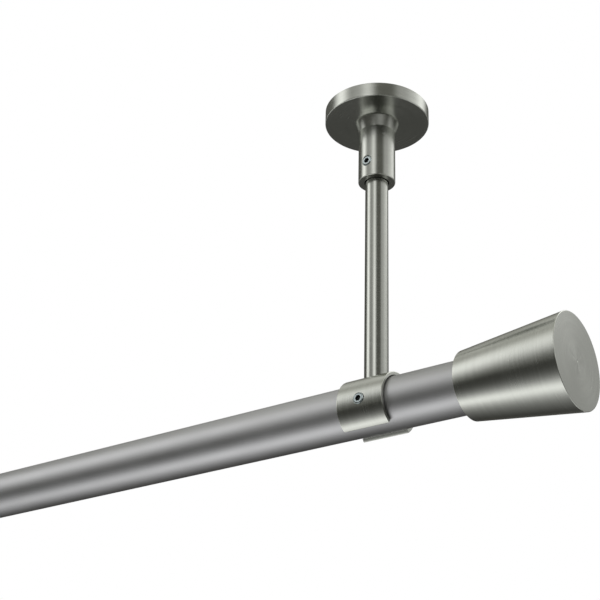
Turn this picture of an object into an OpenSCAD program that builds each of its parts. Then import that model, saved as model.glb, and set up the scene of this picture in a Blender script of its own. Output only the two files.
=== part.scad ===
// Curtain rod for a ceiling: a round pole held in two open rings. Each ring hangs on a
// stem from a socket and a round rose, and a cone-shaped finial closes each pole end.
// X runs along the pole, Z points up to the ceiling and -Y faces the room.
// The origin is the middle of the pole, on its axis.

/* [Pole] */
// Outer diameter of the pole tube
pole_d = 28; // [24:0.5:32]
// Wall of the pole tube
pole_wall = 1.5; // [1:0.1:3]
// Length of the pole tube
pole_l = 1200; // [600:10:2400]
// Bevel round the cut ends of the pole tube
pole_bevel = 0.3; // [0.1:0.1:0.5]
// Height of the ceiling above the pole's axis
drop = 184; // [160:1:300]

/* [Finial] */
// Length of the finial
finial_l = 57.5; // [48:0.5:90]
// Wall of the finial round the pole at its small end
finial_wall = 3.9; // [2.5:0.1:8]
// How far the cone of the finial widens on each side
finial_flare = 6.6; // [2:0.1:16]
// Length of the pole that sits inside the finial
finial_grip = 30.5; // [22:0.5:40]
// Distance from the middle of a bracket to the finial's small end
finial_offset = 56; // [30:0.5:120]
// Bevel round the finial's edges
finial_bevel = 0.2; // [0.1:0.1:1]
// Distance from the finial's small end to its grub screw
finial_screw_x = 10; // [6:0.5:16]
// Radius of the centre mark on the outer face
centre_mark_r = 0.6; // [0.4:0.1:2]

/* [Ring] */
// Wall of the ring round the pole
ring_wall = 2.2; // [1.7:0.1:4]
// Length of the ring along the pole
ring_l = 28; // [20:0.5:40]
// Angle of the ring's open mouth, centred straight down
mouth_angle = 66; // [40:1:110]
// Bevel round the ring's outer edges
ring_bevel = 0.4; // [0.1:0.1:0.8]
// How far the ring's grub screw stands out of the ring
ring_screw_proud = 0.5; // [0:0.1:1]

/* [Stem] */
// Diameter of the stem
stem_d = 13; // [10:0.5:15]
// Length of the stem that sits inside the socket
stem_grip = 25; // [18:0.5:28]
// Diameter of the spigot that fixes the stem in the ring
spigot_d = 8; // [5:0.5:9]
// Bevel round the stem's top end
stem_bevel = 0.5; // [0.2:0.1:1.5]

/* [Socket] */
// Wall of the socket round the stem
socket_wall = 3.7; // [2.5:0.1:8]
// Length of the socket below the rose
socket_l = 39.5; // [37:0.5:60]
// Depth of the bore that takes the stem
socket_bore_l = 32; // [29:0.5:33]
// How far the collar flares out past the socket where it meets the rose
collar_flare = 2.1; // [0.5:0.1:6]
// Height of the flared collar
collar_h = 6.5; // [3:0.5:10]
// Distance from the socket's lower end to its grub screw
socket_screw_z = 10; // [6:0.5:16]
// Bevel round the socket's lower edges
socket_bevel = 0.4; // [0.1:0.1:0.8]

/* [Ceiling rose] */
// Diameter of the rose
rose_d = 60; // [54:1:90]
// Height of the rose
rose_h = 8.5; // [8.5:0.5:14]
// Thickness of the rose's underside
rose_floor = 2; // [1:0.1:2.5]
// Wall of the rose's rim
rose_wall = 1.8; // [1:0.1:3]
// Bevel round the rose's lower edge
rose_bevel = 0.5; // [0.2:0.1:1]
// Thickness of the mounting plate
plate_t = 2.5; // [1.5:0.1:3]
// Distance between the two ceiling screw holes
hole_spacing = 38; // [30:1:40]
// Diameter of the ceiling screw holes
hole_d = 5.2; // [4:0.1:6]

/* [Fasteners] */
// Thread diameter of the grub screws
grub_d = 6; // [5:0.5:7]
// Width across the flats of the grub screws' key sockets
key_af = 3; // [2:0.5:3.5]
// Depth of the grub screws' key sockets
key_depth = 2; // [0.8:0.1:2.5]
// Depth of the cup in the grub screws' points
cup_depth = 0.4; // [0.2:0.1:0.6]
// Thread diameter of the stud between plate and socket
stud_d = 8; // [6:0.5:10]
// Width across the flats of the lock nut
nut_af = 13; // [12:0.5:17]
// Bevel round the screws and the stud
thread_bevel = 0.3; // [0.1:0.1:0.6]
// Bevel round the grub screws' tapped holes
hole_bevel = 0.1; // [0.1:0.1:0.4]

/* [Clearances] */
// Gap between the pole and the ring
pole_gap = 0.3; // [0.2:0.05:0.6]
// Gap between the pole and the finial's bore
finial_gap = 0.1; // [0.05:0.05:0.3]
// Gap between the pole's end and the bottom of the finial's bore
end_gap = 0.3; // [0.1:0.1:1]
// Gap between the stem and the socket's bore
stem_gap = 0.3; // [0.1:0.05:0.5]
// Gap between a thread and its tapped hole
thread_gap = 0.05; // [0.02:0.01:0.1]
// Gap between the stud and its hole in the rose
stud_gap = 0.3; // [0.1:0.1:1]
// Gap between the stud's lower end and the stem's bore
stud_end_gap = 0.5; // [0.1:0.1:2]
// Gap between the mounting plate and the rose's rim
plate_gap = 1.2; // [0.3:0.1:3]
// Gap between the stem's foot and spigot and the ring
seat_gap = 0.05; // [0.02:0.01:0.1]
// Gap between a grub screw's tip and what it presses on
tip_gap = 0.1; // [0.05:0.05:0.2]

/* [Hidden] */

$fn = 96;
fitting_steel = [0.72, 0.73, 0.69];
pole_steel = [0.70, 0.70, 0.71];
zinc = [0.62, 0.66, 0.70];

pole_r = pole_d / 2;
bore_r = pole_r + pole_gap;
ring_r = bore_r + ring_wall;
stem_r = stem_d / 2;
stem_bore_r = stem_r + stem_gap;
spigot_r = spigot_d / 2;
socket_r = stem_bore_r + socket_wall;
collar_r = socket_r + collar_flare;
rose_r = rose_d / 2;
plate_r = rose_r - rose_wall - plate_gap;
grub_r = grub_d / 2;
stud_r = stud_d / 2;

// Middle of each bracket along the pole
bracket_x = pole_l / 2 - finial_grip - finial_offset;
// Small end of each finial along the pole
finial_x = bracket_x + finial_offset;

// Heights above the pole's axis
rose_z = drop - rose_h;
plate_z = drop - plate_t;
socket_z = rose_z - socket_l;
stem_top_z = socket_z + stem_grip;
stud_z = socket_z + socket_bore_l + stud_end_gap;
stud_top_z = drop - thread_bevel;
nut_z = rose_z + rose_floor;

finial_bore_r = pole_r + finial_gap;
finial_bore_l = finial_grip + end_gap;
finial_small_r = finial_bore_r + finial_wall;
finial_large_r = finial_small_r + finial_flare;
// Radius of the finial's cone at a distance from its small end
function cone_r(x) = finial_small_r + finial_flare * x / finial_l;

// How far a cut runs past the faces that it opens
cut_margin = 1;

// Height over the axis at which a screw's flat end is flush with a round wall
function flush_height(wall_r) = sqrt(wall_r * wall_r - grub_r * grub_r);

// A hexagonal prism given by its width across the flats
module hex_prism(af, h) {
    cylinder(d = af / cos(30), h = h, $fn = 6);
}

// Turns a shape that stands on Z so that it points along X
module along_x() {
    rotate([0, 90, 0]) children();
}

// Turns a shape that stands on Z so that it points to the room, along -Y
module facing_room() {
    rotate([90, 0, 0]) children();
}

// Turns a shape that stands on Z so that it points away from the room, along +Y
module facing_wall() {
    rotate([-90, 0, 0]) children();
}

// Puts a piece of the right bracket in its place
module at_bracket() {
    translate([bracket_x, 0, 0]) children();
}

// Puts a piece of the right finial in its place
module at_finial() {
    translate([finial_x, 0, 0]) children();
}

// The left end of the rod mirrors the right end
module left() {
    mirror([1, 0, 0]) children();
}

// A cylinder on the pole's axis, longer than what it cuts in a bracket
module pole_cutter(r) {
    l = ring_l + 2 * cut_margin;
    translate([-l / 2, 0, 0]) along_x() cylinder(r = r, h = l);
}

// A hole from below a flat piece of height h to above it
module through_hole(r, h) {
    translate([0, 0, -cut_margin]) cylinder(r = r, h = h + 2 * cut_margin);
}

// A grub screw that stands on Z, with its cup point at z0 and its key socket at z1
module grub_screw(z0, z1) {
    l = z1 - z0;
    // A short screw has a shallower cup and key socket, so that they never meet
    cup = min(cup_depth, l / 5);
    key_l = min(key_depth, l * 2 / 3);
    cup_r = grub_r / 2;
    translate([0, 0, z0]) difference() {
        rotate_extrude() polygon([
            [0, cup],
            [cup_r, 0],
            [grub_r - thread_bevel, 0],
            [grub_r, thread_bevel],
            [grub_r, l - thread_bevel],
            [grub_r - thread_bevel, l],
            [0, l]]);
        translate([0, 0, l - key_l]) hex_prism(key_af, key_l + cut_margin);
    }
}

// The tapped hole for a grub screw, from the axis out past the wall, with a 45 degree
// countersink that starts one bevel below the wall
module grub_hole(wall_z) {
    hole_r = grub_r + thread_gap;
    rotate_extrude() polygon([
        [0, 0],
        [hole_r, 0],
        [hole_r, wall_z - hole_bevel],
        [hole_r + hole_bevel + cut_margin, wall_z + cut_margin],
        [0, wall_z + cut_margin]]);
}

// Round tube with bevelled ends
module pole() {
    inner_r = pole_r - pole_wall;
    color(pole_steel) translate([-pole_l / 2, 0, 0]) along_x() rotate_extrude() polygon([
        [inner_r, 0],
        [pole_r - pole_bevel, 0],
        [pole_r, pole_bevel],
        [pole_r, pole_l - pole_bevel],
        [pole_r - pole_bevel, pole_l],
        [inner_r, pole_l]]);
}

// Steel disc that is screwed to the ceiling
module mounting_plate() {
    color(zinc) translate([0, 0, plate_z]) difference() {
        cylinder(r = plate_r, h = plate_t);
        through_hole(stud_r + thread_gap, plate_t);
        for (side = [-1, 1])
            translate([side * hole_spacing / 2, 0, 0]) through_hole(hole_d / 2, plate_t);
    }
}

// Thin nut that locks the stud against the plate and carries the rose's floor
module lock_nut() {
    nut_h = plate_z - nut_z;
    corner_r = nut_af / 2 / cos(30);
    shoulder = corner_r - nut_af / 2;
    color(zinc) translate([0, 0, nut_z]) difference() {
        intersection() {
            hex_prism(nut_af, nut_h);
            rotate_extrude() polygon([
                [0, 0],
                [nut_af / 2, 0],
                [corner_r, shoulder / 2],
                [corner_r, nut_h - shoulder / 2],
                [nut_af / 2, nut_h],
                [0, nut_h]]);
        }
        through_hole(stud_r + thread_gap, nut_h);
    }
}

// Threaded stud from the plate down into the socket
module stud() {
    l = stud_top_z - stud_z;
    color(zinc) translate([0, 0, stud_z]) rotate_extrude() polygon([
        [0, 0],
        [stud_r - thread_bevel, 0],
        [stud_r, thread_bevel],
        [stud_r, l - thread_bevel],
        [stud_r - thread_bevel, l],
        [0, l]]);
}

// Shallow cup that covers the plate
module rose() {
    hole_r = stud_r + stud_gap;
    color(fitting_steel) translate([0, 0, rose_z]) rotate_extrude() polygon([
        [hole_r, 0],
        [rose_r - rose_bevel, 0],
        [rose_r, rose_bevel],
        [rose_r, rose_h],
        [rose_r - rose_wall, rose_h],
        [rose_r - rose_wall, rose_floor],
        [hole_r, rose_floor]]);
}

// Turned socket with a flared collar, a bore for the stem and a thread for the stud
module socket() {
    tap_r = stud_r + thread_gap;
    color(fitting_steel) difference() {
        translate([0, 0, socket_z]) rotate_extrude() polygon([
            [stem_bore_r + socket_bevel, 0],
            [socket_r - socket_bevel, 0],
            [socket_r, socket_bevel],
            [socket_r, socket_l - collar_h],
            [collar_r, socket_l],
            [tap_r, socket_l],
            [tap_r, socket_bore_l],
            [stem_bore_r, socket_bore_l],
            [stem_bore_r, socket_bevel]]);
        translate([0, 0, socket_z + socket_screw_z]) facing_room()
            grub_hole(flush_height(socket_r));
    }
}

// Grub screw that holds the stem at its height
module socket_screw() {
    color(zinc) translate([0, 0, socket_z + socket_screw_z]) facing_room()
        grub_screw(stem_r + tip_gap, socket_r);
}

// Round bar whose foot is shaped to the ring, with a spigot through the ring's wall
module stem() {
    color(fitting_steel) {
        difference() {
            rotate_extrude() polygon([
                [0, 0],
                [stem_r, 0],
                [stem_r, stem_top_z - stem_bevel],
                [stem_r - stem_bevel, stem_top_z],
                [0, stem_top_z]]);
            pole_cutter(ring_r + seat_gap);
        }
        difference() {
            cylinder(r = spigot_r, h = ring_r + cut_margin);
            pole_cutter(bore_r);
        }
    }
}

// Ring round the pole, open below, with holes for the stem's spigot and the grub screw
module ring() {
    half_l = ring_l / 2;
    color(fitting_steel) difference() {
        along_x() rotate([0, 0, mouth_angle / 2]) rotate_extrude(angle = 360 - mouth_angle)
            polygon([
                [bore_r, -half_l],
                [ring_r - ring_bevel, -half_l],
                [ring_r, -half_l + ring_bevel],
                [ring_r, half_l - ring_bevel],
                [ring_r - ring_bevel, half_l],
                [bore_r, half_l]]);
        cylinder(r = spigot_r + seat_gap, h = ring_r + cut_margin);
        facing_room() grub_hole(flush_height(ring_r));
    }
}

// Grub screw that clamps the pole in the ring
module ring_screw() {
    color(zinc) facing_room() grub_screw(pole_r + tip_gap, ring_r + ring_screw_proud);
}

// Solid cone with a bore for the pole and a turned centre mark on its flat face
module finial() {
    color(fitting_steel) difference() {
        along_x() rotate_extrude() polygon([
            [finial_bore_r + finial_bevel, 0],
            [finial_small_r - finial_bevel, 0],
            [cone_r(finial_bevel), finial_bevel],
            [cone_r(finial_l - finial_bevel), finial_l - finial_bevel],
            [finial_large_r - finial_bevel, finial_l],
            [centre_mark_r, finial_l],
            [0, finial_l - centre_mark_r / 2],
            [0, finial_bore_l],
            [finial_bore_r, finial_bore_l],
            [finial_bore_r, finial_bevel]]);
        translate([finial_screw_x, 0, 0]) facing_wall()
            grub_hole(flush_height(cone_r(finial_screw_x)));
    }
}

// Grub screw that holds the finial on the pole
module finial_screw() {
    color(zinc) translate([finial_screw_x, 0, 0]) facing_wall()
        grub_screw(pole_r + tip_gap, flush_height(cone_r(finial_screw_x - grub_r)));
}

pole();
at_bracket() mounting_plate();  // mounting_plate_right
left() at_bracket() mounting_plate();  // mounting_plate_left
at_bracket() lock_nut();  // lock_nut_right
left() at_bracket() lock_nut();  // lock_nut_left
at_bracket() stud();  // stud_right
left() at_bracket() stud();  // stud_left
at_bracket() rose();  // rose_right
left() at_bracket() rose();  // rose_left
at_bracket() socket();  // socket_right
left() at_bracket() socket();  // socket_left
at_bracket() socket_screw();  // socket_screw_right
left() at_bracket() socket_screw();  // socket_screw_left
at_bracket() stem();  // stem_right
left() at_bracket() stem();  // stem_left
at_bracket() ring();  // ring_right
left() at_bracket() ring();  // ring_left
at_bracket() ring_screw();  // ring_screw_right
left() at_bracket() ring_screw();  // ring_screw_left
at_finial() finial();  // finial_right
left() at_finial() finial();  // finial_left
at_finial() finial_screw();  // finial_screw_right
left() at_finial() finial_screw();  // finial_screw_left
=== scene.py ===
# %% [markdown]
# This lesson dresses a curtain rod that was built as a mechanical model: a round pole in two
# open rings, each hung from the ceiling on a stem, a socket and a flat rose, with a turned
# cone on each pole end. Blender adds the finish: satin steel needs well-shaped edges, a
# brushing direction on every surface and a studio for it to mirror.
#
# X runs along the pole, Z points up to the ceiling and -Y faces the room. All lengths here
# are metres.

# %% Load the frame
import math

import bmesh
import bpy
import numpy as np
from mathutils import Matrix, Vector


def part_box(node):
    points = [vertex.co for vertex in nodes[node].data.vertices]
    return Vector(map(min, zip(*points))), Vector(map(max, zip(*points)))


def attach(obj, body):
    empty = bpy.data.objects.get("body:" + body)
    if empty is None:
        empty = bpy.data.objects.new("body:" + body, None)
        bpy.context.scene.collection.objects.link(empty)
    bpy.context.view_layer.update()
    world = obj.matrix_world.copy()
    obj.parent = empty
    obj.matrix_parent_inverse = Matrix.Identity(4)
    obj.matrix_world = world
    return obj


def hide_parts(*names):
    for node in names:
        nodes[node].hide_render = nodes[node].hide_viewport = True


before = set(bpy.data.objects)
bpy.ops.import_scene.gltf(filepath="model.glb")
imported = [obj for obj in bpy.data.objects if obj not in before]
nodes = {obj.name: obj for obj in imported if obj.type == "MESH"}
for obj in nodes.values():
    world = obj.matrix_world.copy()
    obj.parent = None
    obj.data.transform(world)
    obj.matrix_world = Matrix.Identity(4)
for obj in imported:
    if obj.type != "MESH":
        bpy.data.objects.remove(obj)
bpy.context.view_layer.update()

# %% [markdown]
# The camera comes first, because every finish is judged from it. It stands in the room below
# the pole, to the right of the right bracket, and looks up at it. A camera in Blender looks
# along its own -Z with +Y up, so its turn is a matrix of three columns: right, up and back.
# An azimuth and an elevation give the back direction, and a small roll tilts the picture.

# %% Camera
camera_place = Vector((0.85198, -0.50445, -0.23412))
camera_azimuth = math.radians(37.773)
camera_elevation = math.radians(-25.955)
camera_roll = math.radians(1.844)

back = Vector((math.sin(camera_azimuth) * math.cos(camera_elevation),
               -math.cos(camera_azimuth) * math.cos(camera_elevation),
               math.sin(camera_elevation)))
level_right = Vector((0, 0, 1)).cross(back).normalized()
level_up = back.cross(level_right)
right = math.cos(camera_roll) * level_right + math.sin(camera_roll) * level_up
up = math.cos(camera_roll) * level_up - math.sin(camera_roll) * level_right

camera_data = bpy.data.cameras.new("camera")
camera_data.lens = 74.72
camera_data.sensor_width = 36
camera_data.clip_start = 0.01
camera_data.clip_end = 50
camera = bpy.data.objects.new("camera", camera_data)
bpy.context.scene.collection.objects.link(camera)
turn = Matrix((right, up, back)).transposed()
camera.matrix_world = Matrix.Translation(camera_place) @ turn.to_4x4()
bpy.context.scene.camera = camera
bpy.context.scene.view_settings.view_transform = "Standard"
print("The camera looks along", tuple(round(-c, 3) for c in back))

# %% [markdown]
# Every material and the studio are small networks of nodes. These helpers keep each of them
# short: an input takes a fixed value or another node's output, whichever it is given.

# %% Node helpers


def add_node(tree, kind, **settings):
    """Adds a node, sets its properties and returns it."""
    node = tree.nodes.new(kind)
    for name, value in settings.items():
        setattr(node, name, value)
    return node


def feed(tree, socket, value):
    """Gives an input socket a fixed value, or links another node's output to it."""
    if isinstance(value, bpy.types.NodeSocket):
        tree.links.new(value, socket)
    else:
        socket.default_value = value


def math_node(tree, operation, *values):
    """A Math node. Each value is a number or an output socket."""
    node = add_node(tree, "ShaderNodeMath", operation=operation)
    for socket, value in zip(node.inputs, values):
        feed(tree, socket, value)
    return node.outputs[0]


def vector_math(tree, operation, *values):
    """A Vector Math node. Each value is a triple or an output socket."""
    node = add_node(tree, "ShaderNodeVectorMath", operation=operation)
    for socket, value in zip(node.inputs, values):
        feed(tree, socket, value)
    return node.outputs["Value" if operation in ("DOT_PRODUCT", "DISTANCE") else "Vector"]


def smooth_step(tree, value, low, high, bottom=0.0, top=1.0):
    """Maps a value from low..high to bottom..top on a smooth S-curve."""
    node = add_node(tree, "ShaderNodeMapRange", interpolation_type="SMOOTHSTEP")
    for socket, given in zip(node.inputs, (value, low, high, bottom, top)):
        feed(tree, socket, given)
    return node.outputs[0]


def object_place(tree):
    """The shaded point in the object's own coordinates, in metres."""
    return add_node(tree, "ShaderNodeTexCoord").outputs["Object"]


def axes_of(tree, place):
    """The X, Y and Z outputs of a place or a direction."""
    node = add_node(tree, "ShaderNodeSeparateXYZ")
    feed(tree, node.inputs[0], place)
    return tuple(node.outputs)


def by_ray(tree, kind, others, chosen):
    """A mix of two shaders: one kind of ray meets the chosen one, and all others the other."""
    mix = add_node(tree, "ShaderNodeMixShader")
    feed(tree, mix.inputs[0], add_node(tree, "ShaderNodeLightPath").outputs[kind])
    feed(tree, mix.inputs[1], others)
    feed(tree, mix.inputs[2], chosen)
    return mix.outputs[0]


print("The nodes are those of Blender", bpy.app.version_string)

# %% [markdown]
# Satin steel shows hardly anything but its surroundings, so the studio is part of the finish.
# It could be built from lamps, but a world that is bright in a few soft patches gives the same
# even light with less noise. Each patch is a softbox: a direction, a half width and a half
# height. The large ones stand above the horizon and draw the bright bands on the pole, the
# stem and the socket. The low ones light what leans downwards, such as the collar's flare. In
# a world, the Generated coordinate is the direction in which a ray looks.

# %% Softboxes
world = bpy.data.worlds.new("studio")
bpy.context.scene.world = world
world.use_nodes = True
tree = world.node_tree
tree.nodes.clear()
ray = add_node(tree, "ShaderNodeTexCoord").outputs["Generated"]


def direction_of(azimuth, elevation):
    """Unit vector to a compass direction: azimuth 0 is +Y and 90 is +X, both in degrees."""
    a = math.radians(azimuth)
    e = math.radians(elevation)
    return Vector((math.sin(a) * math.cos(e), math.cos(a) * math.cos(e), math.sin(e)))


def softbox(azimuth, elevation, width, tallness, strength):
    """An oval patch of light, which falls smoothly from its strength at a miss of 0 to nothing
    at 1. The miss is the square root of aside squared + above squared, each of them how far
    the ray passes the middle, counted in the patch's half widths or half heights."""
    middle = direction_of(azimuth, elevation)
    sideways = Vector((0, 0, 1)).cross(middle).normalized()
    upwards = middle.cross(sideways)
    aside = math_node(tree, "DIVIDE", vector_math(tree, "DOT_PRODUCT", ray, sideways),
                      math.sin(math.radians(width)))
    above = math_node(tree, "DIVIDE", vector_math(tree, "DOT_PRODUCT", ray, upwards),
                      math.sin(math.radians(tallness)))
    miss = math_node(tree, "ADD", math_node(tree, "POWER", aside, 2),
                     math_node(tree, "POWER", above, 2))
    patch = smooth_step(tree, math_node(tree, "SQRT", miss), 1.0, 0.0, 0.0, strength)
    ahead = math_node(tree, "GREATER_THAN", vector_math(tree, "DOT_PRODUCT", ray, middle), 0)
    return math_node(tree, "MULTIPLY", patch, ahead)


# azimuth, elevation, half width and half height in degrees, strength
softboxes = {
    "key": softbox(-127, 27, 26, 36, 1.62),
    "second": softbox(165, 22, 22, 26, 1.4),
    "room": softbox(-170, 36, 36, 34, 0.4),
    "rear": softbox(26, 46, 24, 26, 1.7),
    "side": softbox(56, 28, 64, 30, 0.74),
    "right": softbox(96, 29, 16, 26, 0.27),
    "top": softbox(-80, 62, 30, 24, 0.4),
    "low_front": softbox(130, 0, 40, 12, 0.5),
    "low_side": softbox(68, 0, 28, 12, 0.5),
}
print("The studio has", len(softboxes), "softboxes")

# %% [markdown]
# Between the softboxes the walls are nearly dark and a little yellow, so the steel has deep,
# warm shadows, and the ceiling is a little lighter. How high a ray looks is its own Z, which is
# the sine of its elevation. All this is for the metal to mirror: the camera sees plain white.

# %% Walls and background
wall_tint = (1, 1, 0.9)
dark_walls = 0.1
ceiling_glow = 0.35
ceiling_fade = (0.5, 0.85)

height = axes_of(tree, ray)[2]
walls = smooth_step(tree, height, *ceiling_fade, dark_walls, ceiling_glow)
studio = vector_math(tree, "MULTIPLY", wall_tint, walls)
for patch in softboxes.values():
    studio = vector_math(tree, "ADD", studio, patch)
studio_light = add_node(tree, "ShaderNodeBackground")
feed(tree, studio_light.inputs["Color"], studio)
white = add_node(tree, "ShaderNodeBackground")
white.inputs["Color"].default_value = (1, 1, 1, 1)
surroundings = by_ray(tree, "Is Camera Ray", studio_light.outputs[0], white.outputs[0])
feed(tree, add_node(tree, "ShaderNodeOutputWorld").inputs[0], surroundings)
print("The walls' light is", dark_walls, "and the ceiling's", ceiling_glow)

# %% [markdown]
# Below the rod lie two level squares, a light sheet and a floor. Their materials start
# without any shader, because each becomes a mix that looks different to different rays.

# %% Stage squares


def stage_paint(name):
    """A material with no shader in it yet, as (material, node tree)."""
    material = bpy.data.materials.new(name)
    material.use_nodes = True
    material.node_tree.nodes.clear()
    return material, material.node_tree


def level_square(name, z, reach, paint):
    """A level square of the stage at a height, whose sides are twice its reach."""
    corners = reach * np.array([(-1, -1), (1, -1), (1, 1), (-1, 1)], float)
    mesh = bpy.data.meshes.new(name)
    mesh.from_pydata([(x, y, z) for x, y in corners], [], [(0, 1, 2, 3)])
    mesh.materials.append(paint)
    square = bpy.data.objects.new(name, mesh)
    bpy.context.scene.collection.objects.link(square)
    return square


print("A stage square is level and has the rod over its middle")

# %% [markdown]
# Surfaces that look down mirror what lies below them. A plain floor would make them all the
# same pale grey, so the metal gets a level sheet of its own under the pole, as a photographer
# lays a reflector there. The camera doesn't see it. It carries a long pool of light that lies
# along the pole and fades towards both its ends: that is what gives the underside of the pole
# its bright band and leaves the rose's underside dark. Round patches at the back light the
# collars and the steel that is seen from behind.
#
# Across the pole, the pool is as bright as its peak divided by 1 + the square of the distance
# from its middle, counted in spreads. A fade is given as two places with a smooth step between.

# %% Light sheet
sheet_z = -0.62
sheet_reach = 6.0
pool_middle = -0.18
pool_spread = 0.2
pool_peak = 0.966
pool_base = 0.0345
right_fade = (0.65, 0.4)
left_fade = (-0.8, 0)
left_share = 0.55
sheet_patches = {
    "rear": ((1.1, 0.65, sheet_z), 1.0),
    "far_left": ((-2.8, 0.3, sheet_z), 1.7),
    "far_rear": ((0.8, 2.6, sheet_z), 1.5),
}
patch_strength = 0.55
sheet_strength = 1.45

sheet_light, tree = stage_paint("sheet_light")
place = object_place(tree)
x, y, _ = axes_of(tree, place)
off_middle = math_node(tree, "SUBTRACT", y, pool_middle)
off_squared = math_node(tree, "POWER", math_node(tree, "DIVIDE", off_middle, pool_spread), 2)
pool = math_node(tree, "DIVIDE", pool_peak, math_node(tree, "ADD", off_squared, 1))
pool = math_node(tree, "MULTIPLY", pool, smooth_step(tree, x, *right_fade))
pool = math_node(tree, "MULTIPLY", pool, smooth_step(tree, x, *left_fade, left_share, 1))
shine = vector_math(tree, "ADD", [pool_base * part for part in wall_tint], pool)
for middle, reach in sheet_patches.values():
    distance = vector_math(tree, "DISTANCE", place, middle)
    patch = smooth_step(tree, distance, reach, 0.0, 0.0, patch_strength)
    shine = vector_math(tree, "ADD", shine, patch)
glow = add_node(tree, "ShaderNodeEmission")
feed(tree, glow.inputs["Color"], shine)
glow.inputs["Strength"].default_value = sheet_strength
unlit = add_node(tree, "ShaderNodeBsdfDiffuse")
seen_by_metal = by_ray(tree, "Is Glossy Ray", unlit.outputs[0], glow.outputs[0])
feed(tree, add_node(tree, "ShaderNodeOutputMaterial").inputs[0], seen_by_metal)

light_sheet = level_square("light_sheet", sheet_z, sheet_reach, sheet_light)
light_sheet.visible_camera = False
light_sheet.visible_diffuse = False
light_sheet.visible_shadow = False
print("The light sheet has a pool and", len(sheet_patches), "patches")

# %% [markdown]
# The floor of the room is a plain pale sheet as well, matt and a little lifted for the camera,
# so that it is nearly white and keeps what shadow there is. It lies a storey below the
# ceiling, so that a camera can look up at the rod from steep below and still stand on it. The
# lift is for the eye alone, so the floor isn't sampled as a lamp.

# %% Floor
floor_z = -3.2
floor_reach = 30.0
floor_grey = 0.85
floor_lift = 0.45

floor_paint, tree = stage_paint("floor_paint")
floor_paint.cycles.emission_sampling = "NONE"
matt = add_node(tree, "ShaderNodeBsdfDiffuse")
matt.inputs["Color"].default_value = (floor_grey, floor_grey, floor_grey, 1)
lift = add_node(tree, "ShaderNodeEmission")
lift.inputs["Strength"].default_value = floor_lift
pale = add_node(tree, "ShaderNodeAddShader")
feed(tree, pale.inputs[0], matt.outputs[0])
feed(tree, pale.inputs[1], lift.outputs[0])
seen_floor = by_ray(tree, "Is Camera Ray", matt.outputs[0], pale.outputs[0])
feed(tree, add_node(tree, "ShaderNodeOutputMaterial").inputs[0], seen_floor)
level_square("floor", floor_z, floor_reach, floor_paint)
print("The floor lies", -floor_z, "m below the pole")

# %% [markdown]
# The mechanical model has the right shapes, but its edges are plain 45 degree bevels and its
# surfaces carry no direction. On brushed metal those two things are the whole look, so each
# large piece is made again as a surface of two parameters: a profile with round edges, carried
# round an axis. The sizes come from the frame, and only those that a box can't tell are
# written here. A name that ends in _r is a radius, in _l a length and in _h a height. Angles
# are in degrees.

# %% Sizes
MM = 0.001


def box_of(node):
    """The lowest and highest corner of a node, as two arrays."""
    low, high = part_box(node)
    return np.array(low), np.array(high)


tube_wall = 1.5 * MM
slide_gap = 0.3 * MM
seat_gap = 0.05 * MM
press_gap = 0.1 * MM

_, pole_high = box_of("pole")
pole_end = pole_high[0]
pole_r = pole_high[2]
pole_bore_r = pole_r - tube_wall

ring_low, ring_high = box_of("ring_right")
bracket_x = (ring_low[0] + ring_high[0]) / 2
ring_half = (ring_high[0] - ring_low[0]) / 2
ring_r = ring_high[2]
ring_bore_r = pole_r + slide_gap
mouth_angle = 66

_, stem_high = box_of("stem_right")
stem_r = stem_high[1]
stem_top = stem_high[2]
seat_r = ring_r + seat_gap
spigot_r = 4 * MM

socket_low, socket_high = box_of("socket_right")
socket_bottom = socket_low[2]
socket_top = socket_high[2]
socket_r = 10.5 * MM
socket_bore_r = stem_r + slide_gap
socket_bore_l = 32 * MM
socket_screw_h = 10 * MM
collar_r = socket_high[1]
collar_h = 6.5 * MM
tap_r = 4.05 * MM

rose_low, rose_high = box_of("rose_right")
rose_r = rose_high[1]
rose_bottom = rose_low[2]
rose_top = rose_high[2]

finial_low, finial_high = box_of("finial_right")
finial_start = finial_low[0]
finial_l = finial_high[0] - finial_low[0]
finial_small_r = 18 * MM
finial_large_r = 24.6 * MM
finial_bore_r = pole_r + press_gap
finial_bore_l = 30.8 * MM

grub_r = 3 * MM
hole_r = 3.05 * MM
hole_sink = 0.1 * MM
print("The brackets hang", round(2 * bracket_x, 4), "apart")

# %% [markdown]
# A turned piece is drawn as half of its section: a line through corners, as on a lathe
# drawing. A real edge is never quite sharp, so each corner has a rounding, and becomes an arc
# that touches both its edges. A short straight part beside each arc keeps the shading of the
# arc off the flat faces. The third column tells the finish how much a place is rubbed and how
# much light or shade is painted on it: 1 on an arc, where handling has polished it smoother
# and a painted highlight makes it brighter, 0 on the open faces, and a negative number on the
# inner edges of the ring and in the bore of the socket, which no pad reaches: they stay
# rougher, and painted shade makes them dark.
#
# A hair is shorter than any part of the rod. It keeps rounding errors out of comparisons.

# %% Profiles
edge_steps = 5
# Inner edges and bores get this value: rougher, and darkened by painted shade.
dull_and_shaded = -2
hair = 1e-6


def stations(marks, steps):
    """Values from the first mark to the last. Each run between two marks is split evenly into
    parts that are no longer than its step."""
    runs = [np.linspace(start, stop, math.ceil(abs(stop - start) / step - hair) + 1)[:-1]
            for start, stop, step in zip(marks, marks[1:], steps)]
    return np.append(np.concatenate(runs), marks[-1])


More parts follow.
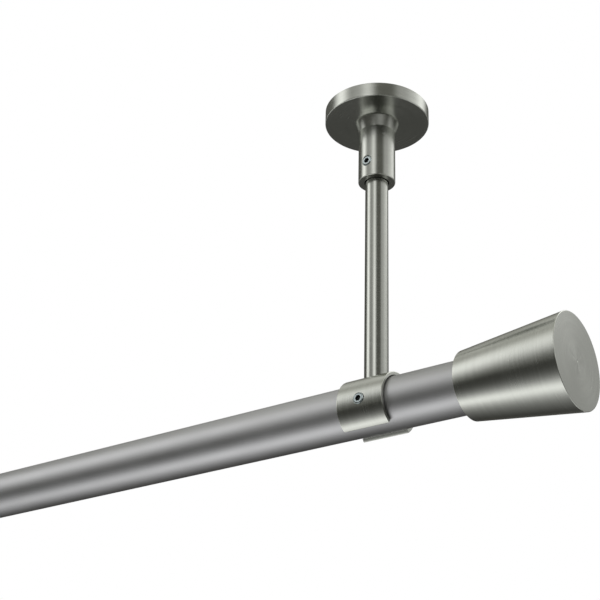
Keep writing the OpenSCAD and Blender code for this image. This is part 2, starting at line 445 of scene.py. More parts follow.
def round_corner(before, at, after, size):
    """The arc of a radius that touches both edges at a corner. It is the mix of its two end
    spokes by sines: (sin((1 - t) sweep) start + sin(t sweep) stop) / sin(sweep)."""
    way_in = (before - at) / np.linalg.norm(before - at)
    way_out = (after - at) / np.linalg.norm(after - at)
    half = math.acos(way_in @ way_out) / 2
    reach = size / math.tan(half)
    bisector = (way_in + way_out) / np.linalg.norm(way_in + way_out)
    middle = at + bisector * size / math.sin(half)
    start = at + way_in * reach - middle
    stop = at + way_out * reach - middle
    sweep = math.pi - 2 * half
    t = np.linspace(0, 1, edge_steps + 1)[:, None]
    arc = middle + (np.sin((1 - t) * sweep) * start + np.sin(t * sweep) * stop) / math.sin(sweep)
    arc = np.column_stack([arc, np.ones(len(arc))])
    hold = reach + size / 4
    return [(*(at + way_in * hold), 0), *arc, (*(at + way_out * hold), 0)]


def rounded(corners, step):
    """A profile of (along, radius, on an edge) through corners of (along, radius, rounding),
    with no part longer than a step."""
    places = np.array(corners, float)[:, :2]
    roundings = [corner[2] for corner in corners[1:-1]]
    points = [(*places[0], 0)]
    for before, at, after, size in zip(places, places[1:], places[2:], roundings):
        points += round_corner(before, at, after, size) if size else [(*at, 0)]
    points = np.array(points + [(*places[-1], 0)])
    parts = np.ceil(np.linalg.norm(np.diff(points[:, :2], axis=0), axis=1) / step - hair)
    runs = [np.linspace(a, b, int(n) + 1)[:-1] for a, b, n in zip(points, points[1:], parts)]
    return np.vstack([*runs, points[-1:]])


print("A round corner is drawn with", edge_steps + 1, "points")

# %% [markdown]
# Carrying a profile round an axis gives a grid: a row for each profile point and a column for
# each angle. Such a wall knows its profile and its angles, which of its squares are left out
# for a hole, and the patches that close the gap. Every point carries its place, a brushing
# direction as a UV pair and the edge value.

# %% Turned walls
AXES = {"X": np.array([(1.0, 0, 0), (0, -1, 0), (0, 0, 1)]),
        "Z": np.array([(0, 0, 1.0), (0, -1, 0), (1, 0, 0)])}


class Turned:
    """A profile carried round an axis. A point is centre + along * axis + radius *
    (cos(angle) * room + sin(angle) * side), so that angle 0 faces the room."""

    def __init__(self, profile, degrees, centre, axis):
        self.profile = profile
        self.angles = np.radians(degrees)
        self.centre = np.array(centre)
        self.axis, self.room, self.side = AXES[axis]
        parts = np.linalg.norm(np.diff(profile[:, :2], axis=0), axis=1)
        self.length = np.append(0, np.cumsum(parts))
        self.squares = np.ones((len(profile) - 1, len(degrees) - 1), bool)
        self.patches = []

    def sheet(self, along, radius, angle, length, edge):
        """A grid of points, each (x, y, z, u, v, edge). U runs along the profile, across the
        brushing, and V runs round the axis."""
        along, radius, angle, length, edge = np.broadcast_arrays(along, radius, angle, length, edge)
        outwards = np.cos(angle)[..., None] * self.room + np.sin(angle)[..., None] * self.side
        place = self.centre + along[..., None] * self.axis + radius[..., None] * outwards
        return np.dstack([place, length, angle, edge])

    def sheets(self):
        """The wall with its windows left out, and the patches that fill them."""
        along, radius, edge = self.profile.T[:, :, None]
        wall = self.sheet(along, radius, self.angles, self.length[:, None], edge)
        return [(wall, self.squares), *((patch, None) for patch in self.patches)]


print("A wall is turned round", " or ".join(AXES))

# %% [markdown]
# A wall with a screw hole is no longer a plain grid. A Boolean modifier could cut it, but it
# leaves slivers that show in a mirror finish. Here the grid gets a window, and a second grid
# fills it: rings that grow from the hole's round rim to the window's square edge, each point
# lifted back onto the wall. A third grid lines the hole.
#
# Near the hole a place is given by a, how far it lies along the axis from the hole's middle,
# and b, how far across. The way is the angle round the hole. A countersink is a cone of 45
# degrees, so it widens the hole by as much as it rises. Its rim lies on a round wall, which is
# higher in the middle than at the sides, and is found by trying a radius and correcting it.

# %% Windows and rims
sink_tries = 20


def window(rows, columns):
    """Row and column numbers once round the edge of a window, first point repeated."""
    up_side = np.stack([rows[:-1], np.full(len(rows) - 1, columns[0])])
    far_end = np.stack([np.full(len(columns) - 1, rows[-1]), columns[:-1]])
    down_side = np.stack([rows[:0:-1], np.full(len(rows) - 1, columns[-1])])
    near_end = np.stack([np.full(len(columns), rows[0]), columns[::-1]])
    return np.hstack([up_side, far_end, down_side, near_end])


def height_over_axis(level, slope, a, b):
    """The square root of the wall's radius at a, squared, less b squared."""
    return np.sqrt((level + slope * a) ** 2 - b ** 2)


def sunk_rim(level, slope, radius, foot, way):
    """Radius of a countersink's rim each way round: the hole's radius + the wall's height at
    that rim - the height of the countersink's foot."""
    rim = np.full(len(way), radius)
    for _ in range(sink_tries):
        rim = radius + height_over_axis(level, slope, rim * np.cos(way), rim * np.sin(way)) - foot
    return rim


print("A countersink's rim is corrected", sink_tries, "times")

# %% [markdown]
# A hole goes through the outer and the inner side of a wall. On both, the window is opened, the
# side is measured near the hole, and the patch is laid into it: its growth is 0 on the rim and
# 1 at the window's edge. The rims of both sides, with the foot of a countersink between them,
# are the rows of the grid that lines the hole.

# %% Drilled holes
growth = np.array([0, 0.04, 0.13, 0.3, 0.5, 0.75, 1])[:, None]
rubbed_and_lit_growth = 0.1


def drill(wall, along, degrees, radius, reach, spread, sink=0.0):
    """Drills a round hole along a radius of a wall, through its outer and its inner side. The
    window reaches so far along and spreads so many degrees, either way."""
    middle = math.radians(degrees)
    distance = wall.profile[:, 0] - along
    near = abs(distance) < reach + hair
    columns = np.flatnonzero(abs(wall.angles - middle) < math.radians(spread) + hair)
    inner = wall.profile[:, 1] < wall.profile[near, 1].mean()
    rims = []
    for side in (near & ~inner, near & inner):
        rows = np.flatnonzero(side)
        wall.squares[rows[0]:rows[-1], columns[0]:columns[-1]] = False
        rows = rows[np.argsort(distance[rows])]
        slope, level = np.polyfit(distance[rows], wall.profile[rows, 1], 1)
        stretch, start = np.polyfit(distance[rows], wall.length[rows], 1)
        row, column = window(rows, columns)
        a_far = distance[row]
        b_far = wall.profile[row, 1] * np.sin(wall.angles[column] - middle)
        way = np.unwrap(np.arctan2(b_far, a_far))
        rim = plain_rim = np.full(len(way), radius)
        foot = math.sqrt(level ** 2 - grub_r ** 2) - sink
        countersunk = sink and not rims
        if countersunk:
            rim = sunk_rim(level, slope, radius, foot, way)
        a = (1 - growth) * rim * np.cos(way) + growth * a_far
        b = (1 - growth) * rim * np.sin(way) + growth * b_far
        rise = height_over_axis(level, slope, a, b)
        # The hole's rim is rubbed smoother and gets a painted highlight.
        edge = np.clip(1 - growth / rubbed_and_lit_growth, 0, 1)
        wall.patches.append(wall.sheet(along + a, np.hypot(b, rise), middle + np.arctan2(b, rise),
                                       start + stretch * a, edge))
        rims.append((rim, way, rise[0]))
        if countersunk:
            rims.append((plain_rim, way, np.full(len(way), foot)))
    rim, way, rise = (np.array(values) for values in zip(*rims))
    a = rim * np.cos(way)
    b = rim * np.sin(way)
    lining = wall.sheet(along + a, np.hypot(b, rise), middle + np.arctan2(b, rise), -rise, 0)
    lining[..., 4] = way
    wall.patches.append(lining)


print("A hole is joined to its window by", len(growth) - 1, "rings of faces")

# %% [markdown]
# A piece is one closed mesh. Its sheets share their border points, so merging doubles closes
# the seam, the poles and the windows, and after that the faces are turned outwards together.
# Corners sharper than 32 degrees keep a hard shading edge. The left end of the rod mirrors
# the right end: its points get the opposite x before the mesh is made.

# %% Pieces
sharp_angle = 32


def squares_of(sheet, kept):
    """Corner numbers of the squares of a grid, four in a row for each square."""
    number = np.arange(sheet.shape[0] * sheet.shape[1]).reshape(sheet.shape[:2])
    corners = np.stack([number[:-1, :-1], number[1:, :-1], number[1:, 1:], number[:-1, 1:]], -1)
    return corners.reshape(-1, 4) if kept is None else corners[kept]


def mesh_of(name, sheets):
    """One closed mesh from sheets of (x, y, z, u, v, edge), mirrored for the left end."""
    points = np.vstack([sheet.reshape(-1, 6) for sheet, _ in sheets])
    starts = np.cumsum([0] + [sheet.shape[0] * sheet.shape[1] for sheet, _ in sheets])
    faces = np.vstack([squares_of(*pair) + start for pair, start in zip(sheets, starts)])
    if name.endswith("left"):
        points = points * (-1, 1, 1, 1, 1, 1)
    mesh = bpy.data.meshes.new(name)
    mesh.from_pydata(points[:, :3].tolist(), [], faces.tolist())
    brushing = mesh.uv_layers.new(name="brushing")
    brushing.data.foreach_set("uv", points[faces.ravel(), 3:5].ravel())
    # How much a place is rubbed, with its painted highlight or painted shade.
    rubbed_and_lit = mesh.attributes.new("edge", "FLOAT", "CORNER")
    rubbed_and_lit.data.foreach_set("value", points[faces.ravel(), 5])
    shape = bmesh.new()
    shape.from_mesh(mesh)
    bmesh.ops.remove_doubles(shape, verts=shape.verts, dist=hair)
    bmesh.ops.recalc_face_normals(shape, faces=shape.faces)
    loose = sum(not edge.is_manifold for edge in shape.edges)
    print(name, "has", len(shape.faces), "faces and", loose, "open edges")
    shape.to_mesh(mesh)
    shape.free()
    mesh.shade_smooth()
    mesh.set_sharp_from_angle(angle=math.radians(sharp_angle))
    return mesh


def make_piece(name, sheets, body, material, stands_for):
    """Puts one object from sheets into the scene, riding on a body in place of a node."""
    mesh = mesh_of(name, sheets)
    mesh.materials.append(material)
    piece = bpy.data.objects.new(name, mesh)
    bpy.context.scene.collection.objects.link(piece)
    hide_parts(stands_for)
    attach(piece, body)


# %% [markdown]
# The fittings are turned from solid steel and then satined on the lathe with an abrasive pad.
# The pad leaves grooves that run round the axis: rings on a flat disc, hoops on a wall. A noise
# texture in plain coordinates would lie across them, and one in polar coordinates would show a
# seam where the angle starts again. A noise of four dimensions has neither fault. Two of them
# are the distance along the axis and the distance from it, so the grooves are narrow. The other
# two are the cosine and the sine of the angle, so a groove comes and goes on its way round.

# %% Grooves


def turning(tree, axis, centre):
    """The place of a shaded point on a turned piece: (along, radius, cosine, sine). The left
    end is folded onto the right end, so that one material does for both."""
    x, y, z = axes_of(tree, object_place(tree))
    x = math_node(tree, "SUBTRACT", math_node(tree, "ABSOLUTE", x), centre)
    along, across = (x, z) if axis == "X" else (z, x)
    squared = math_node(tree, "MULTIPLY_ADD", y, y, math_node(tree, "MULTIPLY", across, across))
    radius = math_node(tree, "SQRT", squared)
    return (along, radius, math_node(tree, "DIVIDE", y, radius),
            math_node(tree, "DIVIDE", across, radius))


def joined(tree, *numbers):
    """A vector from two or three outputs."""
    node = add_node(tree, "ShaderNodeCombineXYZ")
    for socket, number in zip(node.inputs, numbers):
        feed(tree, socket, number)
    return node.outputs[0]


def noise_of(tree, place, scale, detail, fourth=None):
    """Noise of a place, spread round 0. A fourth number gives it four dimensions."""
    noise = add_node(tree, "ShaderNodeTexNoise")
    if fourth is not None:
        noise.noise_dimensions = "4D"
        feed(tree, noise.inputs["W"], fourth)
    feed(tree, noise.inputs["Vector"], place)
    noise.inputs["Scale"].default_value = scale
    noise.inputs["Detail"].default_value = detail
    return math_node(tree, "SUBTRACT", noise.outputs[0], 0.5)


def grooves(tree, marks, width, turns, detail):
    """Noise of grooves round an axis, each about one width wide: noise of (along / width,
    radius / width, cosine * turns, sine * turns). A groove fades in and out so many times a
    turn."""
    along, radius, cosine, sine = marks
    place = joined(tree, math_node(tree, "DIVIDE", along, width),
                   math_node(tree, "DIVIDE", radius, width),
                   math_node(tree, "MULTIPLY", cosine, turns))
    return noise_of(tree, place, 1, detail, math_node(tree, "MULTIPLY", sine, turns))


print("A groove is placed by its distances along the axis and from it")

# %% [markdown]
# A faced disc also shows a faint star round its middle: the rings are so small there that the
# light turns with them. Noise of the angle alone gives its rays, painted into the colour as a
# highlight.

# %% Rays


def spokes(tree, marks, turns, reach):
    """Noise of rays of painted highlight from the axis, which fade out at a reach from it.
    Nothing but the angle goes into it, so each ray is straight."""
    along, radius, cosine, sine = marks
    place = joined(tree, math_node(tree, "MULTIPLY", cosine, turns),
                   math_node(tree, "MULTIPLY", sine, turns))
    ray = noise_of(tree, place, 1, detail=1)
    return math_node(tree, "MULTIPLY", ray, smooth_step(tree, radius, reach, 0))


print("A ray is placed by its angle alone")

# %% [markdown]
# A metal in Blender is the Principled shader with Metallic at 1: the base colour is then the
# colour of its mirror image, and the roughness its blur. A real surface is never even, so the
# colour, the roughness and the height of a bump are each a plain value plus weighted noises.
# Clouds in the roughness stand for the hand that held the polishing pad.

# %% Bare metal


def clouds(tree, size, detail):
    """Noise of soft patches of a size, the same in all directions."""
    return noise_of(tree, object_place(tree), 1 / size, detail)


def weigh(tree, base, *parts):
    """The sum of a base and of parts, each given as (output, weight)."""
    total = base
    for value, weight in parts:
        total = math_node(tree, "MULTIPLY_ADD", value, weight, total)
    return total


def rubbing_and_painted_light(tree):
    """How much a place is rubbed, with painted highlight above 0 and painted shade below 0."""
    return add_node(tree, "ShaderNodeAttribute", attribute_name="edge").outputs["Fac"]


def new_metal(name):
    """A material with a bare metal shader, as (material, node tree, shader)."""
    material = bpy.data.materials.new(name)
    material.use_nodes = True
    tree = material.node_tree
    shader = tree.nodes["Principled BSDF"]
    shader.inputs["Metallic"].default_value = 1
    return material, tree, shader


def finish_metal(tree, shader, colour, shade, roughness, height, depth):
    """Feeds a metal with its colour times a shade, its roughness and its bump in metres."""
    feed(tree, shader.inputs["Base Color"], vector_math(tree, "MULTIPLY", colour, shade))
    feed(tree, shader.inputs["Roughness"], roughness)
    bump = add_node(tree, "ShaderNodeBump")
    bump.inputs["Distance"].default_value = depth
    feed(tree, bump.inputs["Height"], height)
    feed(tree, shader.inputs["Normal"], bump.outputs[0])


print("A bare metal is the Principled shader with one bump")

# %% [markdown]
# Grooves blur the mirror image across themselves more than along themselves. The anisotropy
# does that, about a tangent that comes from the pieces' own UV pair, whose U runs across the
# grooves. Grooves also tilt the surface a little, which is what makes single hoops glint, so
# the same noise goes through the bump. Rounded edges are rubbed smoother and get a painted
# highlight; places with a negative edge value are rougher and get painted shade.
#
# There are three of these finishes: one along the pole for the rings and finials, one upright
# for the sockets and roses, and a finer one for the stems, which are made from ground bar and
# so have marks of a third of the depth.

# %% Satined fittings
warm_steel = (0.56, 0.573, 0.532)


def turned_steel(name, axis, centre, depth, star=0):
    """Satined steel with grooves of a depth round an axis. A star is how strong the painted
    highlight of rays shows near the axis."""
    material, tree, shader = new_metal(name)
    marks = turning(tree, axis, centre)
    fine = grooves(tree, marks, width=0.3 * MM, turns=1.5, detail=2)
    broad = grooves(tree, marks, width=1.7 * MM, turns=0.8, detail=1)
    hand = clouds(tree, size=14 * MM, detail=2)
    edge = rubbing_and_painted_light(tree)
    # The edge value paints a highlight on rounded edges and paints shade into the dull places.
    shade = weigh(tree, 1.0, (fine, 0.22), (broad, 0.14), (edge, 0.32))
    if star:
        shade = weigh(tree, shade, (spokes(tree, marks, turns=2.5, reach=10 * MM), star))
    roughness = weigh(tree, 0.24, (fine, 0.1), (broad, 0.06), (hand, 0.1), (edge, -0.06))
    height = weigh(tree, fine, (broad, 1.5))
    finish_metal(tree, shader, warm_steel, shade, roughness, height, depth)
    tangent = add_node(tree, "ShaderNodeTangent", direction_type="UV_MAP", uv_map="brushing")
    feed(tree, shader.inputs["Tangent"], tangent.outputs[0])
    shader.inputs["Anisotropic"].default_value = 0.5
    return material


turned_depth = 0.009 * MM
ground_depth = 0.003 * MM
steel_along_pole = turned_steel("steel_turned_along_pole", "X", 0, turned_depth, star=0.8)
steel_upright = turned_steel("steel_turned_upright", "Z", bracket_x, turned_depth)
steel_ground = turned_steel("steel_ground_bar", "Z", bracket_x, ground_depth)
print("The fittings have", len(steel_upright.node_tree.nodes), "nodes each")

# %% [markdown]
# The pole came from another maker: it is a tube, ground between wheels and then nickel plated.
# It is a neutral grey and much softer than the fittings, with no single groove to be seen. Its
# grain is faint hoops of half a millimetre and a finer dust, under slow clouds.
# A matt plating doesn't turn into a white mirror at its outline as bare steel does, so the
# tint at grazing angles is held down to a light grey.

# %% Satin pole
nickel_grey = (0.655, 0.658, 0.668)
grazing_tint = (0.8, 0.8, 0.8, 1)

satin_pole, tree, shader = new_metal("satin_pole")
marks = turning(tree, "X", 0)
hoops = grooves(tree, marks, width=0.5 * MM, turns=3, detail=2)
dust = clouds(tree, size=0.35 * MM, detail=1)
hand = clouds(tree, size=22 * MM, detail=2)
edge = rubbing_and_painted_light(tree)
# The edge value paints a highlight on the rounded ends of the tube.
shade = weigh(tree, 1.0, (hoops, 0.08), (dust, 0.06), (hand, 0.06), (edge, 0.15))
roughness = weigh(tree, 0.46, (hoops, 0.06), (hand, 0.08), (edge, -0.1))
height = weigh(tree, hoops, (dust, 0.5))
finish_metal(tree, shader, nickel_grey, shade, roughness, height, depth=0.006 * MM)
shader.inputs["Specular Tint"].default_value = grazing_tint
print("The pole's finish has", len(tree.nodes), "nodes")

# %% [markdown]
# The fasteners and the plate under the rose are zinc plated. Fresh zinc is a little blue, and
# its grains show as small patches that differ in gloss. They keep their mechanical shapes, so
# their finish reads the object's coordinates only.

# %% Zinc
zinc_blue = (0.59, 0.665, 0.675)


def zinc_parts(tree):
    """The shade, roughness and height that all zinc plating has: clouds, and the distance to
    the middle of each grain, brought to about 0 on average."""
    grain_size = 0.8 * MM
    grains = add_node(tree, "ShaderNodeTexVoronoi")
    feed(tree, grains.inputs["Vector"], object_place(tree))
    grains.inputs["Scale"].default_value = 1 / grain_size
    grain = math_node(tree, "SUBTRACT", grains.outputs["Distance"], 0.4)
    cloud = clouds(tree, size=5 * MM, detail=3)
    shade = weigh(tree, 1.0, (grain, 0.12), (cloud, 0.25))
    roughness = weigh(tree, 0.24, (grain, 0.06), (cloud, 0.2))
    return shade, roughness, weigh(tree, cloud, (grain, 0.2))


zinc, tree, shader = new_metal("zinc")
finish_metal(tree, shader, zinc_blue, *zinc_parts(tree), depth=0.01 * MM)
print("Zinc plating has", len(tree.nodes), "nodes")

# %% [markdown]
# A grub screw looks out of the room's side of each socket and each ring. Its key socket is
# nearly black, and the thread round it hardly shows. The hexagon could be left to the light,
# but then it mirrors the studio and looks shallow. So painted shade darkens it, more with the
# depth below the screw's end, inside the radius of the hexagon. Round the screw's rim a line
# of painted shade lies dark above and below the screw and fades at both sides. Both are
# rougher as well. The thread is a bump: its height goes up and down once a pitch, and one
# pitch for each turn makes it a helix.

# %% Grub screws
thread_pitch = 1 * MM
key_depth = (0.02 * MM, 0.3 * MM)
key_edge = (2.1 * MM, 1.8 * MM)
line_inside = (2.2 * MM, 2.5 * MM)
line_outside = (2.95 * MM, 2.7 * MM)
thread_edge = (2.7 * MM, 2.95 * MM)


def screw_place(tree, node):
    """The place of a shaded point on a grub screw or its mirror image: (x and z from its axis,
    depth below its outer end). The frame tells where the screw is, and the sign of its place
    across the pole tells which way it faces."""
    low, high = box_of(node)
    middle = (low + high) / 2
    facing = math.copysign(1, middle[1])
    outer_end = max(abs(low[1]), abs(high[1]))
    x, y, z = axes_of(tree, object_place(tree))
    x = math_node(tree, "SUBTRACT", math_node(tree, "ABSOLUTE", x), middle[0])
    z = math_node(tree, "SUBTRACT", z, middle[2])
    return x, z, math_node(tree, "MULTIPLY_ADD", y, -facing, outer_end)


def screw_zinc(name, node):
    """Zinc with painted shade in the key socket and round the rim, and a thread."""
    material, tree, shader = new_metal(name)
    x, z, depth = screw_place(tree, node)
    squared = math_node(tree, "MULTIPLY_ADD", x, x, math_node(tree, "MULTIPLY", z, z))
    radius = math_node(tree, "SQRT", squared)
    turned = math_node(tree, "DIVIDE", math_node(tree, "ARCTAN2", z, x), 2 * math.pi)
    pitches = math_node(tree, "MULTIPLY_ADD", depth, 1 / thread_pitch, turned)
    ridge = math_node(tree, "PINGPONG", pitches, 0.5)
    thread = math_node(tree, "MULTIPLY", ridge, smooth_step(tree, radius, *thread_edge))
    # Painted shade in the key socket, growing with depth.
    inside = math_node(tree, "MULTIPLY", smooth_step(tree, depth, *key_depth),
                       smooth_step(tree, radius, *key_edge))
    # A line of painted shade round the rim, fading at both sides.
    line = math_node(tree, "MULTIPLY", smooth_step(tree, radius, *line_inside),
                     smooth_step(tree, radius, *line_outside))
    across = math_node(tree, "DIVIDE", math_node(tree, "MULTIPLY", x, x), squared)
    line = math_node(tree, "MULTIPLY", line, weigh(tree, 1.0, (across, -0.8)))
    # All painted shade, which also makes the zinc rougher.
    painted_shade_and_rough = weigh(tree, line, (inside, 0.8))
    shade, roughness, height = zinc_parts(tree)
    shade = math_node(tree, "MULTIPLY", shade, weigh(tree, 1.0, (painted_shade_and_rough, -0.9)))
    roughness = weigh(tree, roughness, (painted_shade_and_rough, 0.3))
    height = weigh(tree, height, (thread, 20.0))
    finish_metal(tree, shader, zinc_blue, shade, roughness, height, depth=0.02 * MM)
    return material


print("A thread rises once in", thread_pitch, "m")

# %% [markdown]
# The fasteners and plates of the mechanical model stay as they are and only get these finishes.
# A screw and its mirror image share one, because it folds the left end onto the right end.

# %% Fasteners
for group in ("socket_screw", "ring_screw", "finial_screw"):
    screw_finish = screw_zinc("zinc_" + group, group + "_right")
    for end in ("right", "left"):
        nodes[f"{group}_{end}"].data.materials[0] = screw_finish
for group in ("mounting_plate", "lock_nut", "stud"):
    for end in ("right", "left"):
        nodes[f"{group}_{end}"].data.materials[0] = zinc
zinc_nodes = [name for name, node in nodes.items() if "zinc" in node.data.materials[0].name]
print("Zinc is on", len(zinc_nodes), "nodes")

# %% [markdown]
# The pole is a drawn steel tube, sawn to length and deburred inside and out. Its section is a
# closed line that starts in the middle of the outer wall.

# %% Pole
whole_turn = np.linspace(-180, 180, 129)
pole_profile = rounded([
    (0, pole_r, 0),
    (pole_end, pole_r, 0.3 * MM),
    (pole_end, pole_bore_r, 0.2 * MM),
    (-pole_end, pole_bore_r, 0.2 * MM),
    (-pole_end, pole_r, 0.3 * MM),
    (0, pole_r, 0)], step=25 * MM)
pole_wall = Turned(pole_profile, whole_turn, (0, 0, 0), "X")
make_piece("pole_tube", pole_wall.sheets(), "pole", satin_pole, "pole")

# %% [markdown]
# The ring is bored and turned like a sleeve, then milled open below, so that the rod is lifted
# into it from beneath. It has two holes: one on top for the stem's spigot, and one towards the
# room for the grub screw. A sheet with a Solidify modifier would give the wall, but its rims
# would stay sharp. So the wall's section is one closed line with round corners, outside and
# inside, and it is carried from one lip of the mouth to the other. Angles are counted from the
# room's side upwards, so the top is at 90 degrees and the middle of the mouth at -90 and 270.

# %% Ring
room_side = 0
top_side = 90
ring_middle = (ring_r + ring_bore_r) / 2
screw_reach = 4.2 * MM
screw_spread = 16
spigot_reach = 5.4 * MM
spigot_spread = 22
hole_marks = (-spigot_reach, -screw_reach, screw_reach, spigot_reach)


def ring_side(radius):
    """Half of the ring's section, from the middle of one end face to the middle of the other."""
    return rounded([
        (-ring_half, ring_middle, 0),
        (-ring_half, radius, 0.4 * MM),
        *((mark, radius, 0) for mark in hole_marks),
        (ring_half, radius, 0.4 * MM),
        (ring_half, ring_middle, 0)], step=0.6 * MM)


mouth_step = 3
first_angle = -90 + mouth_angle / 2
last_angle = 270 - mouth_angle / 2
ring_marks = (first_angle + mouth_step, room_side - screw_spread, room_side + screw_spread,
              top_side - spigot_spread, top_side + spigot_spread, last_angle - mouth_step)
ring_steps = (3, 2, 3, 3, 3)
ring_outside = ring_side(ring_r)
ring_inside = ring_side(ring_bore_r)
# The ring's inner edges are rougher and get painted shade, a dark line where ring meets pole.
ring_inside[:, 2] *= dull_and_shaded
ring_profile = np.vstack([ring_outside, ring_inside[-2::-1]])
ring_wall = Turned(ring_profile, stations(ring_marks, ring_steps), (bracket_x, 0, 0), "X")
drill(ring_wall, 0, room_side, hole_r, screw_reach, screw_spread, hole_sink)
drill(ring_wall, 0, top_side, spigot_r + seat_gap, spigot_reach, spigot_spread)
print("The ring's section has", len(ring_profile), "points")

# %% [markdown]
# The two lips of the ring's mouth are deburred as well. There the section runs on for a quarter
# of a millimetre and shrinks on a quarter circle meanwhile, and its middle line closes the end.

# %% Ring mouth
lip_r = 0.25 * MM
spine_end = ring_half - (ring_r - ring_bore_r) / 2


def ring_mouth(degrees, ahead):
    """The rounded end of the ring at its mouth. The section moves the last bit to the mouth's
    plane while it shrinks: it moves by lip_r (sin t - 1) and shrinks by lip_r (1 - cos t)."""
    along_line = np.gradient(ring_profile[:, :2], axis=0)
    along_line[0] = along_line[-1] = ring_profile[1, :2] - ring_profile[-2, :2]
    along_line /= np.linalg.norm(along_line, axis=1)[:, None]
    inwards = along_line[:, ::-1] * (1, -1)
    t = np.linspace(0, math.pi / 2, edge_steps + 1)[:, None, None]
    section = ring_profile[:, :2] + inwards * lip_r * (1 - np.cos(t))
    angle = math.radians(degrees)
    step = math.radians(ahead * mouth_step)
    start = ring_wall.sheet(ring_profile[:, 0], ring_profile[:, 1], [[angle - step]],
                            ring_wall.length, ring_profile[:, 2])
    # The lip's arc is rubbed smoother and gets a painted highlight.
    turn = ring_wall.sheet(section[..., 0], section[..., 1], angle, ring_wall.length, 1)
    tangent = ahead * (np.cos(angle) * ring_wall.side - np.sin(angle) * ring_wall.room)
    turn[..., :3] += tangent * lip_r * (np.sin(t) - 1)
    turn[..., 4] += ahead * lip_r * (np.sin(t[..., 0]) - 1) / ring_r
    spine = np.clip(ring_profile[:, 0], -spine_end, spine_end)
    face = ring_wall.sheet(spine, ring_middle, [[angle]], ring_wall.length, 0)
    return [(np.concatenate([start, turn, face]), None)]


ring_sheets = ring_wall.sheets() + ring_mouth(last_angle, 1) + ring_mouth(first_angle, -1)
for end in ("right", "left"):
    make_piece("clamp_ring_" + end, ring_sheets, "hangers",
               steel_along_pole, "ring_" + end)

# %% [markdown]
# The stem is a round bar. Its foot is coped: it was cut with a cutter of the ring's own size,
# so it sits on the ring all round, and a spigot below it goes through the ring's wall. A
# Boolean with a cylinder would cut it too, and leave long thin faces. Here the first rows of
# the turned wall are simply lifted onto the cylinder: z is the square root of R squared less y
# squared, with R the ring's bore under the spigot and the ring's outside under the bar. The
# seat lists this R and the radius of each of those rows.

# %% Stem
foot_top = 20 * MM
seat = [
    (ring_bore_r, 0),
    (ring_bore_r, spigot_r / 2),
    (ring_bore_r, spigot_r),
    (seat_r, spigot_r),
    (seat_r, (spigot_r + stem_r) / 2),
    (seat_r, stem_r)]
saddle_r, foot_r = np.array(seat).T[:, :, None]
stem_profile = rounded([
    (foot_top, stem_r, 0),
    (stem_top, stem_r, 0.5 * MM),
    (stem_top, 0, 0)], step=8 * MM)
stem_profile = np.vstack([np.column_stack([foot_r, foot_r, 0 * foot_r]), stem_profile])
stem_wall = Turned(stem_profile, whole_turn, (bracket_x, 0, 0), "Z")
[(stem_sheet, _)] = stem_wall.sheets()
foot_rows = stem_sheet[:len(seat)]
foot_rows[..., 2] = np.sqrt(saddle_r ** 2 - foot_rows[..., 1] ** 2)
for end in ("right", "left"):
    make_piece("stem_bar_" + end, [(stem_sheet, None)], "hangers",
               steel_ground, "stem_" + end)

# %% [markdown]
# The socket is turned from bar: a bore below for the stem, a smaller tapped hole above for the
# stud, and a collar that flares out to the rose. The collar's foot is a soft inner corner, as a
# round-nosed tool leaves it, so light runs over it in a curve. The grub screw needs a wide
# window here, because the wall is narrow and the hole is more than half its width.

# %% Socket
screw_z = socket_bottom + socket_screw_h
socket_spread = 32
socket_marks = (screw_z - screw_reach, screw_z + screw_reach)
socket_bore_top = socket_bottom + socket_bore_l
socket_seam_r = 8 * MM
socket_profile = rounded([
    (socket_top, socket_seam_r, 0),
    (socket_top, tap_r, 0.2 * MM),
    (socket_bore_top, tap_r, 0.2 * MM),
    (socket_bore_top, socket_bore_r, 0.2 * MM),
    *((mark, socket_bore_r, 0) for mark in socket_marks[::-1]),
    (socket_bottom, socket_bore_r, 0.4 * MM),
    (socket_bottom, socket_r, 0.4 * MM),
    *((mark, socket_r, 0) for mark in socket_marks),
    (socket_top - collar_h, socket_r, 0.6 * MM),
    (socket_top, collar_r, 0.35 * MM),
    (socket_top, socket_seam_r, 0)], step=0.6 * MM)
# The socket's bore is rougher and gets painted shade, a dark ring round the stem.
dull_and_shaded_r = socket_bore_r + 0.3 * MM
socket_profile[socket_profile[:, 1] < dull_and_shaded_r, 2] = dull_and_shaded
socket_steps = (3, 2.6, 3)
socket_angles = stations((-180, -socket_spread, socket_spread, 180), socket_steps)
socket_wall = Turned(socket_profile, socket_angles, (bracket_x, 0, 0), "Z")
drill(socket_wall, screw_z, room_side, hole_r, screw_reach, socket_spread, hole_sink)
for end in ("right", "left"):
    make_piece("stem_socket_" + end, socket_wall.sheets(), "ceiling_mounts",
               steel_upright, "socket_" + end)

# %% [markdown]
# The rose is a shallow cup, turned from a disc. Its flat underside is a mirror with rings in
# it, so it shows the socket upside down and drawn out towards the rim. The profile starts on
# that underside, away from any edge, and goes once round the rim, the hollow and the hole.

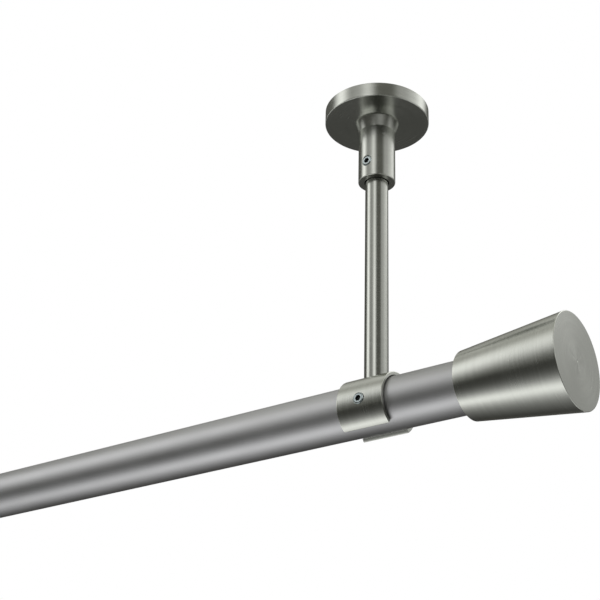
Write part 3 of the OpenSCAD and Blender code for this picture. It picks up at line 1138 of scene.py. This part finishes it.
# %% Rose
rose_turn = np.linspace(-180, 180, 161)
rose_inner_r = rose_r - 1.8 * MM
rose_floor = rose_bottom + 2 * MM
rose_hole_r = 4.3 * MM
rose_seam_r = 15 * MM
rose_profile = rounded([
    (rose_bottom, rose_seam_r, 0),
    (rose_bottom, rose_r, 0.45 * MM),
    (rose_top, rose_r, 0.2 * MM),
    (rose_top, rose_inner_r, 0.2 * MM),
    (rose_floor, rose_inner_r, 0.5 * MM),
    (rose_floor, rose_hole_r, 0.1 * MM),
    (rose_bottom, rose_hole_r, 0.1 * MM),
    (rose_bottom, rose_seam_r, 0)], step=1 * MM)
rose_wall = Turned(rose_profile, rose_turn, (bracket_x, 0, 0), "Z")
for end in ("right", "left"):
    make_piece("ceiling_rose_" + end, rose_wall.sheets(), "ceiling_mounts",
               steel_upright, "rose_" + end)

# %% [markdown]
# The finial is a solid cone with a bore for the pole and a grub screw at the back, where nobody
# looks. Its outer edge is crisp, because the face is cut last, from the rim to the middle,
# where the tool leaves a tiny dimple. The finish paints its highlight star round it.

# %% Finial
back_side = 180
finial_screw = 10 * MM
finial_spread = 15
dimple_r = 0.6 * MM
dimple_depth = 0.3 * MM


def cone_r(x):
    """Radius of the finial's cone at a distance from its small end."""
    return finial_small_r + (finial_large_r - finial_small_r) * x / finial_l


screw_marks = (finial_screw - screw_reach, finial_screw + screw_reach)
finial_profile = rounded([
    (finial_bore_l, 0, 0),
    (finial_bore_l, finial_bore_r, 0.3 * MM),
    *((mark, finial_bore_r, 0) for mark in screw_marks[::-1]),
    (0, finial_bore_r, 0.5 * MM),
    (0, finial_small_r, 0.3 * MM),
    *((mark, cone_r(mark), 0) for mark in screw_marks),
    (finial_l, finial_large_r, 0.3 * MM),
    (finial_l, dimple_r, 0.1 * MM),
    (finial_l - dimple_depth, 0, 0)], step=0.85 * MM)
finial_marks = (0, back_side - finial_spread, back_side + finial_spread, 360)
finial_steps = (2.5, 1.5, 2.5)
finial_angles = stations(finial_marks, finial_steps)
finial_wall = Turned(finial_profile, finial_angles, (finial_start, 0, 0), "X")
drill(finial_wall, finial_screw, back_side, hole_r, screw_reach, finial_spread, hole_sink)
for end in ("right", "left"):
    make_piece("end_cone_" + end, finial_wall.sheets(), "finial_" + end,
               steel_along_pole, "finial_" + end)
